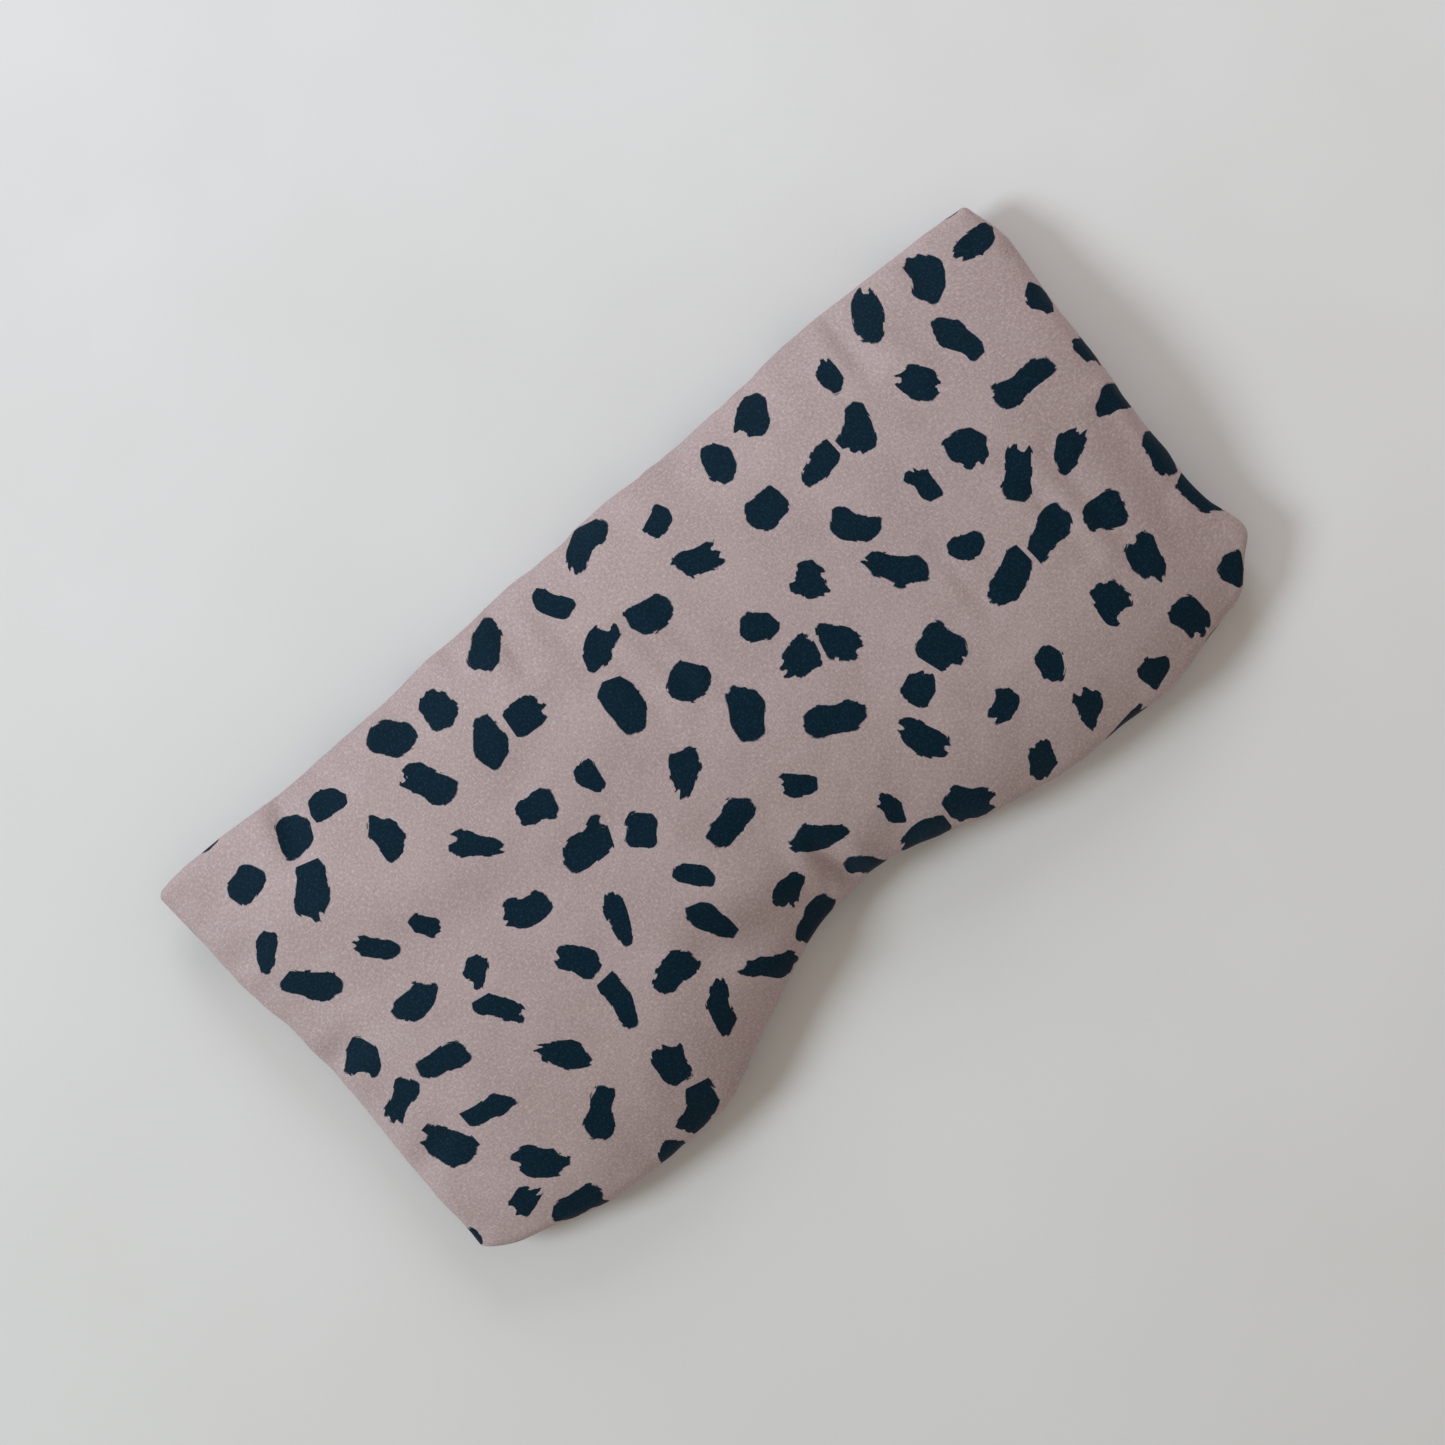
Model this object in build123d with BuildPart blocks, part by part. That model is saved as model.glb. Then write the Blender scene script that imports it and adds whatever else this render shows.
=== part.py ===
from build123d import *
import math
import os

# Weighted eye pillow, lying face up: a printed cotton cover, a calico liner and a seed fill.
#
# Both bags are sewn the same way: two panels with their seam allowances turned in, joined by a
# lockstitch that stops at a turning gap in the brow edge, and that gap closed by a ladder stitch.
#
# Millimetres. +X runs along the pillow, +Y towards the straight brow edge, and the nose notch faces -Y.
# The origin is the centre of the bounding box, on the surface that the pillow rests on.

# Outline of the cover at its seam
length = 220.0
width = 110.0                 # brow edge to the lowest point of the deep lobe
notch_depth = 17.5            # nose notch, measured from the deep lobe
shallow_lift = 6.5            # the +X lobe hangs this much less than the -X lobe
deep_lobe_x = 58.0            # lobe centres, measured from the notch
shallow_lobe_x = 56.0
deep_end_lift = 11.0          # rise of the lower edge from each lobe to its end corner
shallow_end_lift = 8.5
end_taper = 3.0               # each end leans in towards its lower corner
end_bow = 2.5                 # and is drawn in at its middle
end_rise_power = 2.5          # how late the lower edge rises on its way from a lobe to the corner

# Fullness of the filled pillow
seam_height = 8.0             # seam plane above the table
front_bulge = 16.0            # rise of the front over its rim
back_bulge = 7.4              # drop of the back under its rim, before it meets the table
crown_power = 3.0             # low powers give a round crown, high ones a flat crown with steep edges
crown_end_power = 6.0
base_power = 4.0
base_end_power = 10.0
liner_power = 8.0             # how quickly the liner comes up to the cover from its own rim
liner_end_power = 16.0

# Cloth, seams and thread
cotton = 0.4                  # thickness of the printed cotton
calico = 0.4                  # thickness of the liner cloth
fold_width = 0.5              # solid cloth fold at the rim, before the cavity starts
cover_allowance = 6.0
liner_allowance = 5.0
thread = 0.25
needle_radius = 0.11          # the needle's holes, filled by the thread that dips into them
stitch_length = 3.0
seam_line = 1.5               # stitches stand this far in from the rim
cover_opening = 60.0          # turning gap in the brow edge
liner_opening = 50.0
ladder_step = 4.0             # spacing of the ladder stitch's rungs
ladder_rise = 1.2             # height of its rungs, across the seam plane
clip_count = 7                # clips in the allowances, so that they spread round the notch
clip_spacing = 8.0
clip_width = 0.6
clip_margin = 1.0             # cloth left between a clip and the stitches

# Clearances
thread_gap = 0.1              # between the stitches and the cloth over them
liner_gap = 0.5               # between the cover's raw edges and the liner's rim
cloth_gap = 0.3               # between the cover and the liner, front and back
fill_gap = 0.3                # between the liner and the seeds
fill_shy = 1.0                # the seeds stop this far short of the liner's fold

# Worked out from the sizes above
brow_y = width / 2
deep_low_y = -width / 2
shallow_low_y = deep_low_y + shallow_lift
notch_y = deep_low_y + notch_depth
liner_edge = cover_allowance + liner_gap
fill_edge = liner_edge + fold_width + fill_shy
liner_floor = cotton + cloth_gap
fill_floor = liner_floor + calico + fill_gap
cover_cavity_lip = cotton + thread + thread_gap
liner_cavity_lip = calico + thread + thread_gap
rim_samples = 24              # stations along an edge curve or a dome
dome_margin = 1.5             # domes run this far past the rim that trims them


def lower_edge(x, inset=0.0):
    """Height in Y of the lower edge: a notch between two lobes, rising again to the end corners."""
    if x < 0:
        low, lobe_x, end_lift = deep_low_y, deep_lobe_x, deep_end_lift
    else:
        low, lobe_x, end_lift = shallow_low_y, shallow_lobe_x, shallow_end_lift
    reach = abs(x)
    if reach < lobe_x:
        swing = math.cos(math.pi * reach / lobe_x)
        return (notch_y + low) / 2 + (notch_y - low) / 2 * swing + inset
    return low + end_lift * ((reach - lobe_x) / (length / 2 - lobe_x)) ** end_rise_power + inset


def end_reach(y, inset=0.0):
    """Distance in X from the notch to either end, at height y."""
    share = (y + width / 2) / width
    return length / 2 - end_taper * (1 - share) - end_bow * 4 * share * (1 - share) - inset


def lower_corner(side, inset):
    """Where an end meets the lower edge; the two curves are followed in turn until they agree."""
    y = deep_low_y + deep_end_lift
    for _ in range(20):
        x = side * end_reach(y, inset)
        y = lower_edge(x, inset)
    return x, y


def spread(x, y, inset, power, end_power):
    """1 in the middle of the pillow, falling to 0 at a rim that lies `inset` inside the cover's."""
    low, high = lower_edge(x, inset), brow_y - inset
    across = abs(2 * y - low - high) / (high - low)
    along = abs(x) / end_reach(y, inset)
    return (1 - across**power) * (1 - along**end_power)


def cover_height(x, y, side, inset, lip):
    """Distance of the cover's face, or of its cavity, from the seam plane."""
    if side > 0:
        return lip + front_bulge * spread(x, y, inset, crown_power, crown_end_power)
    return lip + back_bulge * spread(x, y, inset, base_power, base_end_power)


def liner_height(x, y, side, inset, lip, clearance):
    """The liner rises from its own rim until it lies `clearance` inside the cover's cavity."""
    room = cover_height(x, y, side, fold_width, cover_cavity_lip) - clearance - lip
    return lip + room * spread(x, y, inset, liner_power, liner_end_power)


def rim(inset):
    """The closed outline of the pillow, `inset` inside the cover's seam."""
    top = brow_y - inset
    ends = {}
    for side in (-1, 1):
        corner_y = lower_corner(side, inset)[1]
        heights = [corner_y + (top - corner_y) * i / 4 for i in range(5)]
        ends[side] = [(side * end_reach(y, inset), y) for y in heights]
    left, right = ends[-1][0][0], ends[1][0][0]
    stations = [left + (right - left) * i / rim_samples for i in range(rim_samples + 1)]
    with BuildLine() as line:
        Spline(*[(x, lower_edge(x, inset)) for x in stations])
        Spline(*ends[1])
        Line(ends[1][-1], ends[-1][-1])
        Spline(*reversed(ends[-1]))
    return line.line


def dome(side, inset, height):
    """The curved face over (side 1) or under (side -1) the seam plane, a little wider than its rim."""
    rows = []
    for i in range(2 * rim_samples + 1):
        x = (i / rim_samples - 1) * (length / 2 + dome_margin)
        low, high = lower_edge(x, inset) - dome_margin, brow_y - inset + dome_margin
        row = [low + (high - low) * j / rim_samples for j in range(rim_samples + 1)]
        rows.append([(x, y, seam_height + side * height(x, y)) for y in row])
    return Face.make_surface_from_array_of_points(rows, tol=0.01)


def half_bag(side, inset, height, floor=0.0):
    """The solid between the seam plane and a dome, cut flat at `floor` where it would go below."""
    with BuildPart() as half:
        with BuildSketch(Plane.XY.offset(seam_height)):
            add(rim(inset))
            make_face()
        extrude(amount=side * (height(0, 0) + front_bulge))
        split(bisect_by=dome(side, inset, height), keep=Keep.BOTTOM if side > 0 else Keep.TOP)
        split(bisect_by=Plane.XY.offset(floor), keep=Keep.TOP)
    return half.part


def needle_points(edge, opening):
    """Where the needle goes through: evenly spaced from one end of the turning gap to the other."""
    path = Wire(rim(edge + seam_line).edges())
    middle = path.param_at_point((0, brow_y - edge - seam_line, 0))
    sewn = 1 - opening / path.length
    count = round(sewn * path.length / stitch_length)
    places = [(middle + (1 - sewn) / 2 + sewn * i / count) % 1 for i in range(count + 1)]
    return [(point.X, point.Y) for point in path.positions(places)]


def beside(points, reach):
    """The same points moved sideways by `reach`, with mitred corners."""
    normals = []
    for (x, y), (next_x, next_y) in zip(points, points[1:]):
        step = math.hypot(next_x - x, next_y - y)
        normals.append(((y - next_y) / step, (next_x - x) / step))
    moved = []
    for (x, y), a, b in zip(points, normals[:1] + normals, normals + normals[-1:]):
        mitre = reach / (1 + a[0] * b[0] + a[1] * b[1])
        moved.append((x + (a[0] + b[0]) * mitre, y + (a[1] + b[1]) * mitre))
    return moved


def seam_thread(side, cloth, points):
    """One thread of a lockstitch: it lies along an allowance and dips through it to the seam plane."""
    with BuildPart() as seam:
        with BuildSketch(Plane.XY.offset(seam_height + side * cloth)):
            with BuildLine():
                Polyline(*beside(points, thread / 2), *reversed(beside(points, -thread / 2)), close=True)
            make_face()
        extrude(amount=side * thread)
        with BuildSketch(Plane.XY.offset(seam_height)):
            with Locations(*points[1:-1]):
                Circle(needle_radius)
        extrude(amount=side * cloth)
    return seam.part


def ladder_thread(edge, opening):
    """The hand stitch that closes a turning gap: one thread that crosses the seam at every step."""
    rungs = round(opening / ladder_step)
    turns = []
    for i in range(rungs + 1):
        x, level = (i - rungs / 2) * ladder_step, ladder_rise / 2 * (-1) ** i
        turns += [(x, seam_height - level), (x, seam_height + level)]
    with BuildPart() as ladder:
        with BuildSketch(Plane.XZ.offset(edge - brow_y)):
            with BuildLine():
                Polyline(*turns)
            trace(line_width=thread)
        extrude(amount=thread)
    return ladder.part


def panel(side, cloth, edge, allowance, points, outer, cavity, ladder):
    """One sewn panel: its curved shell and its turned-in allowance, clipped round the notch."""
    clip_depth = allowance - seam_line - clip_margin
    with BuildPart() as piece:
        with BuildSketch(Plane.XY.offset(seam_height)):
            make_face(rim(edge + fold_width / 2).edges())
            make_face(rim(edge + allowance).edges(), mode=Mode.SUBTRACT)
            with Locations(*points[1:-1]):
                Circle(needle_radius, mode=Mode.SUBTRACT)
            for i in range(clip_count):
                x = (i - (clip_count - 1) / 2) * clip_spacing
                with Locations((x, lower_edge(x, edge + allowance))):
                    Rectangle(clip_width, 2 * clip_depth, mode=Mode.SUBTRACT)
        extrude(amount=side * cloth)
        add(outer.cut(cavity))
        add(ladder, mode=Mode.SUBTRACT)
    return piece.part


def cover_panel(side, points, ladder):
    outer = half_bag(side, 0, lambda x, y: cover_height(x, y, side, 0, cover_cavity_lip + cotton))
    cavity = half_bag(
        side, fold_width, lambda x, y: cover_height(x, y, side, fold_width, cover_cavity_lip), cotton
    )
    return panel(side, cotton, 0, cover_allowance, points, outer, cavity, ladder)


def liner_cavity_height(x, y, side):
    inset = liner_edge + fold_width
    return liner_height(x, y, side, inset, liner_cavity_lip, cloth_gap + calico)


def liner_panel(side, points, ladder):
    lip = liner_cavity_lip + calico
    outer = half_bag(
        side, liner_edge, lambda x, y: liner_height(x, y, side, liner_edge, lip, cloth_gap), liner_floor
    )
    cavity = half_bag(
        side, liner_edge + fold_width, lambda x, y: liner_cavity_height(x, y, side), liner_floor + calico
    )
    return panel(side, calico, liner_edge, liner_allowance, points, outer, cavity, ladder)


os.makedirs("parts", exist_ok=True)

cover_points = needle_points(0, cover_opening)
liner_points = needle_points(liner_edge, liner_opening)

# Printed cotton cover
with BuildPart() as cover_closing_thread:
    add(ladder_thread(0, cover_opening))
cover_closing_thread.part.label = "cover_closing_thread"
export_step(cover_closing_thread.part, "parts/cover_closing_thread.step")

with BuildPart() as cover_front:
    add(cover_panel(1, cover_points, cover_closing_thread.part))
cover_front.part.label = "cover_front"
export_step(cover_front.part, "parts/cover_front.step")

with BuildPart() as cover_back:
    add(cover_panel(-1, cover_points, cover_closing_thread.part))
cover_back.part.label = "cover_back"
export_step(cover_back.part, "parts/cover_back.step")

with BuildPart() as cover_needle_thread:
    add(seam_thread(1, cotton, cover_points))
cover_needle_thread.part.label = "cover_needle_thread"
export_step(cover_needle_thread.part, "parts/cover_needle_thread.step")

with BuildPart() as cover_bobbin_thread:
    add(seam_thread(-1, cotton, cover_points))
cover_bobbin_thread.part.label = "cover_bobbin_thread"
export_step(cover_bobbin_thread.part, "parts/cover_bobbin_thread.step")

# Calico liner
with BuildPart() as liner_closing_thread:
    add(ladder_thread(liner_edge, liner_opening))
liner_closing_thread.part.label = "liner_closing_thread"
export_step(liner_closing_thread.part, "parts/liner_closing_thread.step")

with BuildPart() as liner_front:
    add(liner_panel(1, liner_points, liner_closing_thread.part))
liner_front.part.label = "liner_front"
export_step(liner_front.part, "parts/liner_front.step")

with BuildPart() as liner_back:
    add(liner_panel(-1, liner_points, liner_closing_thread.part))
liner_back.part.label = "liner_back"
export_step(liner_back.part, "parts/liner_back.step")

with BuildPart() as liner_needle_thread:
    add(seam_thread(1, calico, liner_points))
liner_needle_thread.part.label = "liner_needle_thread"
export_step(liner_needle_thread.part, "parts/liner_needle_thread.step")

with BuildPart() as liner_bobbin_thread:
    add(seam_thread(-1, calico, liner_points))
liner_bobbin_thread.part.label = "liner_bobbin_thread"
export_step(liner_bobbin_thread.part, "parts/liner_bobbin_thread.step")

# Flaxseed, as one settled mass, with a slot all round for the liner's allowance and stitches
with BuildPart() as seed_fill:
    for side in (1, -1):
        add(half_bag(
            side, fill_edge, lambda x, y: liner_cavity_height(x, y, side) - fill_gap, fill_floor
        ))
    with BuildSketch(Plane.XY.offset(seam_height)):
        make_face(rim(liner_edge).edges())
        make_face(rim(liner_edge + liner_allowance + fill_gap).edges(), mode=Mode.SUBTRACT)
    extrude(amount=calico + thread + thread_gap, both=True, mode=Mode.SUBTRACT)
seed_fill.part.label = "seed_fill"
export_step(seed_fill.part, "parts/seed_fill.step")
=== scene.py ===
import math

import bpy
import numpy as np
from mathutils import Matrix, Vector, noise as fractal
from mathutils.bvhtree import BVHTree
from mathutils.kdtree import KDTree


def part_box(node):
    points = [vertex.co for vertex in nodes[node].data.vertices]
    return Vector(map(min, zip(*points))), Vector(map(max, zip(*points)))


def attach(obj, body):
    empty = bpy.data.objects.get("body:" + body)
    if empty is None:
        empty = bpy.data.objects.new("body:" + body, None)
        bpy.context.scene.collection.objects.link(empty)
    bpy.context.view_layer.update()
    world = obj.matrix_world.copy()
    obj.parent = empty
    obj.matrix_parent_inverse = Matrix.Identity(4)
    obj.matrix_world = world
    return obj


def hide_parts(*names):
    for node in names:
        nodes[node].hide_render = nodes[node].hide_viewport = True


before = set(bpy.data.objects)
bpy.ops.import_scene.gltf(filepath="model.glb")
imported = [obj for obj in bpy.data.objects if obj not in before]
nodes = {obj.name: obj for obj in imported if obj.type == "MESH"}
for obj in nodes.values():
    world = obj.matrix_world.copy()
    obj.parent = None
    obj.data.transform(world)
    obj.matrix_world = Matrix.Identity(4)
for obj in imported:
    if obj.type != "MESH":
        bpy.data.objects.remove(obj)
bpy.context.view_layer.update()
mm = 0.001
print("Frame loaded")


# an sRGB hex code as a linear colour with alpha
def linearColour(hexCode):
    channels = [int(hexCode[i:i + 2], 16) / 255 for i in (1, 3, 5)]
    linear = [c / 12.92 if c <= 0.04045 else ((c + 0.055) / 1.055) ** 2.4 for c in channels]
    return (*linear, 1.0)


# adds a node and gives one of its outputs. An input is a constant, or a socket to link from
def addNode(tree, kind, inputs=(), out=0, **settings):
    node = tree.nodes.new(kind)
    for name, value in settings.items():
        setattr(node, name, value)
    for key, value in inputs.items() if isinstance(inputs, dict) else enumerate(inputs):
        if isinstance(value, bpy.types.NodeSocket):
            tree.links.new(value, node.inputs[key])
        elif value is not None:
            node.inputs[key].default_value = value
    return node.outputs[out] if node.outputs else node


# an empty material, and its node tree
def startMaterial(name):
    material = bpy.data.materials.new(name)
    material.use_nodes = True
    material.node_tree.nodes.clear()
    return material, material.node_tree


def linkedObject(name, mesh):
    obj = bpy.data.objects.new(name, mesh)
    bpy.context.scene.collection.objects.link(obj)
    return obj


# Printed cotton sateen: smooth, matt and finely woven, with pigment dabs that lie flat in the cloth.
# The yarns of the real cloth are about 0.15 mm apart, drawn at twice that so that they show.
printLook = {
    "pitch": 14.2 * mm,          # average spacing of the dabs
    "scatter": 0.50,             # 0 is a grid, 1 is fully random
    "gap": 0.9 * mm,             # the least space left between two dabs
    "halfLength": (3.5 * mm, 7.0 * mm),
    "halfWidth": (2.6 * mm, 4.1 * mm),
    # each facet's direction in degrees, and the nearest and farthest that it lies
    "facets": ((0, 0.84, 1.10), (42, 0.90, 1.12), (90, 0.78, 1.0), (138, 0.90, 1.12),
               (180, 0.84, 1.10), (222, 0.90, 1.12), (270, 0.78, 1.0), (318, 0.90, 1.12)),
    "bite": 1.7 * mm,            # how deep a dab's end is torn
    "biteWidth": 1.7 * mm,
    "roomLong": 1.22,            # a half length is at most this share of the room to the next dab,
    "roomWide": 0.88,            # and a half width this share
    "corner": 0.16,              # how round the corners between facets are
    # from where an end tears and where it tears fully: for each end's random pick, for the noise that
    # shapes the bites, and for the way out from the dab's middle to its end
    "tornEnds": ((0.62, 0.9), (0.25, 0.6)),
    "tornNoise": (0.44, 0.68),
    "tornFrom": (0.25, 0.7),
    "tornRows": (7.3, 91.0),     # how far apart the noise is read for two ends, and for two dabs
    "swerve": 0.8 * mm,          # how far a stroke bends off its line
    "swerveScale": 0.14 / mm,
    "chip": 0.22 * mm,           # small steps in a dab's outline
    "chipSize": 1.5 * mm,
    "edge": 0.035,               # softness of a dab's outline
    "gapEdge": 0.1,              # and of the gap between two
    "ground": "#B4A2A1",
    "groundShade": "#A89593",
    "yarnDark": "#8B7977",
    "yarnLight": "#CFC1C1",
    "dab": "#011D2A",
    "dabYarn": "#123B50",
    "cloudScale": 0.06 / mm,     # how soon the ground's shade changes
    "fleckScale": 2.8 / mm,
    "fleckStretch": 0.5,
    "lightYarns": (0.58, 0.80, 0.0, 0.60),    # the flecks' noise from and to, and how strongly they show
    "darkYarns": (0.40, 0.25, 0.0, 0.35),
    "threadPitch": 0.30 * mm,
    "threadDepth": 0.035 * mm,
    "seedPitch": 3.4 * mm,
    "seedDepth": 0.16 * mm,      # how far the seeds stand up under the cloth
}


# one brush dab about its cell's point: 1 inside a faceted outline with torn ends, and 0 outside
def makeDabGroup():
    look = printLook
    group = bpy.data.node_groups.new("brushDab", "ShaderNodeTree")
    for name, kind in (("Place", "Vector"), ("Centre", "Vector"), ("Random", "Vector"), ("Room", "Float")):
        group.interface.new_socket(name, in_out="INPUT", socket_type="NodeSocket" + kind)
    group.interface.new_socket("Cover", in_out="OUTPUT", socket_type="NodeSocketFloat")
    given = group.nodes.new("NodeGroupInput").outputs
    picks, seed = [], given["Random"]
    for _ in range(4):
        split = addNode(group, "ShaderNodeSeparateXYZ", [seed]).node.outputs
        picks += [split[0], split[1], split[2]]
        seed = addNode(group, "ShaderNodeTexWhiteNoise", {"Vector": seed}, "Color")

    # the place in the dab's own turned frame, with a bend and small chips
    local = addNode(group, "ShaderNodeVectorMath", [given["Place"], given["Centre"]], operation="SUBTRACT")
    angle = addNode(group, "ShaderNodeMath", [picks[0], 2 * math.pi], operation="MULTIPLY")
    turned = addNode(group, "ShaderNodeVectorRotate", {"Vector": local, "Angle": angle},
                     rotation_type="Z_AXIS")
    chips = addNode(group, "ShaderNodeTexVoronoi", {"Vector": given["Place"], "Scale": 1 / look["chipSize"]},
                    "Color", voronoi_dimensions="2D")
    chips = addNode(group, "ShaderNodeVectorMath", [chips, (0.5, 0.5, 0.5)], operation="SUBTRACT")
    chipped = addNode(group, "ShaderNodeVectorMath", [chips, (2 * look["chip"], 2 * look["chip"], 0), turned],
                      operation="MULTIPLY_ADD")
    along, across, _ = addNode(group, "ShaderNodeSeparateXYZ", [chipped]).node.outputs
    bend = addNode(group, "ShaderNodeTexNoise", {"Vector": given["Place"], "Scale": look["swerveScale"],
                                                 "Detail": 0.0}, noise_dimensions="2D")
    # noise seldom leaves the range from 0.25 to 0.75
    bend = addNode(group, "ShaderNodeMapRange", [bend, 0.25, 0.75, -look["swerve"], look["swerve"]])
    across = addNode(group, "ShaderNodeMath", [across, bend], operation="ADD")

    # its size, which the room between the dabs limits
    longest = addNode(group, "ShaderNodeMath", [given["Room"], look["roomLong"]], operation="MULTIPLY")
    widest = addNode(group, "ShaderNodeMath", [given["Room"], look["roomWide"]], operation="MULTIPLY")
    length = addNode(group, "ShaderNodeMapRange", [picks[1], 0.0, 1.0, *look["halfLength"]])
    length = addNode(group, "ShaderNodeMath", [length, longest], operation="MINIMUM")
    width = addNode(group, "ShaderNodeMapRange", [picks[2], 0.0, 1.0, *look["halfWidth"]])
    width = addNode(group, "ShaderNodeMath", [width, widest], operation="MINIMUM")

    # bites that tear one end of most dabs, and both ends of a few
    end = addNode(group, "ShaderNodeMath", [along], operation="SIGN")
    endRow, dabRow = look["tornRows"]
    row = addNode(group, "ShaderNodeMath", [picks[0], dabRow], operation="MULTIPLY")
    row = addNode(group, "ShaderNodeMath", [end, endRow, row], operation="MULTIPLY_ADD")
    strand = addNode(group, "ShaderNodeMath", [across, look["biteWidth"]], operation="DIVIDE")
    strand = addNode(group, "ShaderNodeCombineXYZ", [strand, row])
    torn = addNode(group, "ShaderNodeTexNoise", {"Vector": strand, "Scale": 1.0, "Detail": 0.6,
                                                 "Roughness": 0.5}, noise_dimensions="2D")
    torn = addNode(group, "ShaderNodeMapRange", [torn, *look["tornNoise"], 0.0, 1.0])
    lessTorn, moreTorn = [addNode(group, "ShaderNodeMapRange", [pick, *share, 0.0, 1.0])
                          for pick, share in zip((picks[4], picks[3]), look["tornEnds"])]
    side = addNode(group, "ShaderNodeMath", [along, 0.0], operation="GREATER_THAN")
    tear = addNode(group, "ShaderNodeMix", {0: side, 2: lessTorn, 3: moreTorn})
    outward = addNode(group, "ShaderNodeMath", [along], operation="ABSOLUTE")
    outward = addNode(group, "ShaderNodeMath", [outward, length], operation="DIVIDE")
    outward = addNode(group, "ShaderNodeMapRange", [outward, *look["tornFrom"], 0.0, look["bite"]])
    bite = addNode(group, "ShaderNodeMath", [torn, tear], operation="MULTIPLY")
    bite = addNode(group, "ShaderNodeMath", [bite, outward], operation="MULTIPLY")
    along = addNode(group, "ShaderNodeMath", [bite, end, along], operation="MULTIPLY_ADD")

    # the facets: the dab is where every one of them is less than 1 away
    x = addNode(group, "ShaderNodeMath", [along, length], operation="DIVIDE")
    y = addNode(group, "ShaderNodeMath", [across, width], operation="DIVIDE")
    place = addNode(group, "ShaderNodeCombineXYZ", [x, y])
    share = None
    for pick, (degrees, near, far) in zip(picks[4:], look["facets"]):
        facing = (math.cos(math.radians(degrees)), math.sin(math.radians(degrees)), 0.0)
        reach = addNode(group, "ShaderNodeMapRange", [pick, 0.0, 1.0, near, far])
        away = addNode(group, "ShaderNodeVectorMath", [place, facing], "Value", operation="DOT_PRODUCT")
        away = addNode(group, "ShaderNodeMath", [away, reach], operation="DIVIDE")
        if share is None:
            share = away
        else:
            share = addNode(group, "ShaderNodeMath", [share, away, look["corner"]], operation="SMOOTH_MAX")
    cover = addNode(group, "ShaderNodeMapRange", [share, 1 - look["edge"], 1 + look["edge"], 1.0, 0.0],
                    interpolation_type="SMOOTHSTEP")
    addNode(group, "NodeGroupOutput", [cover])
    return group


# crossed warp and weft yarns as waves in the flat cloth
def makeWeave(tree, flat, pitch):
    waves = []
    for direction in addNode(tree, "ShaderNodeSeparateXYZ", [flat]).node.outputs[:2]:
        phase = addNode(tree, "ShaderNodeMath", [direction, 2 * math.pi / pitch], operation="MULTIPLY")
        waves.append(addNode(tree, "ShaderNodeMath", [phase], operation="SINE"))
    return addNode(tree, "ShaderNodeMath", waves, operation="MULTIPLY")


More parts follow.
